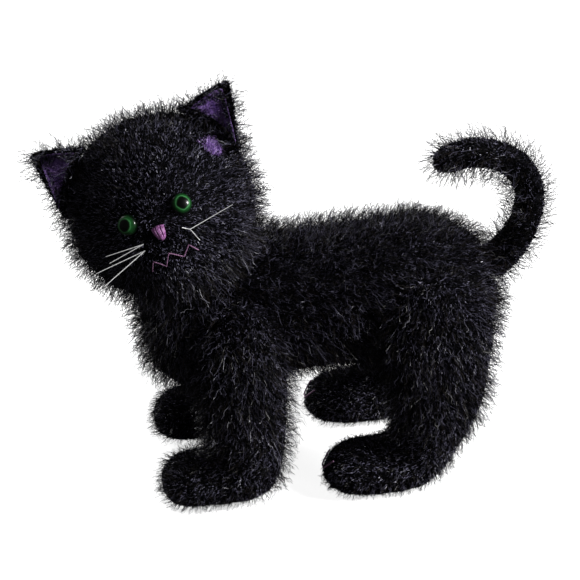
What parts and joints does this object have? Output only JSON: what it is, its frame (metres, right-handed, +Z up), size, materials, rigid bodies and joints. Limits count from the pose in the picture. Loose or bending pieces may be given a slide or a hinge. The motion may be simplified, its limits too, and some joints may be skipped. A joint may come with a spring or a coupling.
{
  "type": "plush cat",
  "caption": "Soft black plush cat standing on four paws, with its head turned to its left and a tail curled over its back; head, ears, legs and tail move.",
  "frame": {"origin": "centre of the bounding box's footprint, on the floor under the soles", "axes": "-X is the way the trunk faces, -Y is the cat's left side, +Z is up"},
  "size_m": [0.249, 0.112, 0.2144],
  "materials": {
    "black_pile_fabric": "knitted pile fabric with long shiny hairs",
    "polyester_fibre": "loose white fibre, inside only",
    "ear_lining_fabric": "short purple nap",
    "eye_plastic": "clear glossy dome over a green back with a black pupil",
    "washer_plastic": "moulded",
    "nose_thread": "satin stitch",
    "mauve_thread": "twisted embroidery thread",
    "whisker_filament": "white nylon filament"
  },
  "bodies": {
    "trunk": {"body_stuffing": "polyester_fibre", "body_side_left": "black_pile_fabric", "body_side_right": "black_pile_fabric", "belly_gusset": "black_pile_fabric"},
    "neck": {"neck_stuffing": "polyester_fibre"},
    "head": {"head_stuffing": "polyester_fibre", "head_side_left": "black_pile_fabric", "head_side_right": "black_pile_fabric", "head_gusset": "black_pile_fabric", "eye_left": "eye_plastic", "eye_right": "eye_plastic", "eye_washer_left": "washer_plastic", "eye_washer_right": "washer_plastic", "nose_embroidery": "nose_thread", "mouth_thread": "mauve_thread", "whiskers_left": "whisker_filament", "whiskers_right_upper": "whisker_filament", "whiskers_right_lower": "whisker_filament"},
    "ear_left": {"ear_back_left": "black_pile_fabric", "ear_lining_left": "ear_lining_fabric"},
    "ear_right": {"ear_back_right": "black_pile_fabric", "ear_lining_right": "ear_lining_fabric"},
    "tail": {"tail_skin": "black_pile_fabric", "tail_stuffing": "polyester_fibre"},
    "leg_front_left": {"leg_front_left_outer": "black_pile_fabric", "leg_front_left_inner": "black_pile_fabric", "leg_front_left_stuffing": "polyester_fibre"},
    "leg_front_right": {"leg_front_right_outer": "black_pile_fabric", "leg_front_right_inner": "black_pile_fabric", "leg_front_right_stuffing": "polyester_fibre"},
    "leg_hind_left": {"leg_hind_left_outer": "black_pile_fabric", "leg_hind_left_inner": "black_pile_fabric", "leg_hind_left_stuffing": "polyester_fibre", "claw_thread_left": "mauve_thread"},
    "leg_hind_right": {"leg_hind_right_outer": "black_pile_fabric", "leg_hind_right_inner": "black_pile_fabric", "leg_hind_right_stuffing": "polyester_fibre", "claw_thread_right": "mauve_thread"}
  },
  "joints": [
    {"name": "head_turn", "type": "hinge", "parent": "trunk", "child": "neck", "pos_m": [-0.05369, 0.00174, 0.127], "axis": [-0.3569, -0.1862, 0.9154], "range_deg": [-20, 20], "stiffness_Nm_per_rad": 0.5},
    {"name": "head_nod", "type": "hinge", "parent": "neck", "child": "head", "pos_m": [-0.05369, 0.00174, 0.127], "axis": [-0.9185, 0.0147, -0.3951], "range_deg": [-8, 8], "stiffness_Nm_per_rad": 1},
    {"name": "ear_left_fold", "type": "hinge", "parent": "head", "child": "ear_left", "pos_m": [-0.0407, -0.00384, 0.1928], "axis": [-0.7295, 0.4805, 0.4867], "range_deg": [-12, 30], "stiffness_Nm_per_rad": 0.004},
    {"name": "ear_right_fold", "type": "hinge", "parent": "head", "child": "ear_right", "pos_m": [-0.10468, -0.00802, 0.17264], "axis": [0.3094, 0.4175, 0.8544], "range_deg": [-30, 12], "stiffness_Nm_per_rad": 0.004},
    {"name": "leg_front_left_swing", "type": "hinge", "parent": "trunk", "child": "leg_front_left", "pos_m": [-0.03169, -0.02426, 0.089], "axis": [0, 1, 0], "range_deg": [-12, 12], "stiffness_Nm_per_rad": 1.2},
    {"name": "leg_front_right_swing", "type": "hinge", "parent": "trunk", "child": "leg_front_right", "pos_m": [-0.03169, 0.03574, 0.089], "axis": [0, 1, 0], "range_deg": [-12, 12], "stiffness_Nm_per_rad": 1.2},
    {"name": "leg_hind_left_swing", "type": "hinge", "parent": "trunk", "child": "leg_hind_left", "pos_m": [0.06431, -0.02726, 0.091], "axis": [0, 1, 0], "range_deg": [-12, 12], "stiffness_Nm_per_rad": 1.2},
    {"name": "leg_hind_right_swing", "type": "hinge", "parent": "trunk", "child": "leg_hind_right", "pos_m": [0.06431, 0.03874, 0.091], "axis": [0, 1, 0], "range_deg": [-12, 12], "stiffness_Nm_per_rad": 1.2},
    {"name": "tail_wag", "type": "hinge", "parent": "trunk", "child": "tail", "pos_m": [0.09531, 0.00574, 0.104], "axis": [0, 0, 1], "range_deg": [-20, 20], "stiffness_Nm_per_rad": 0.05}
  ]
}
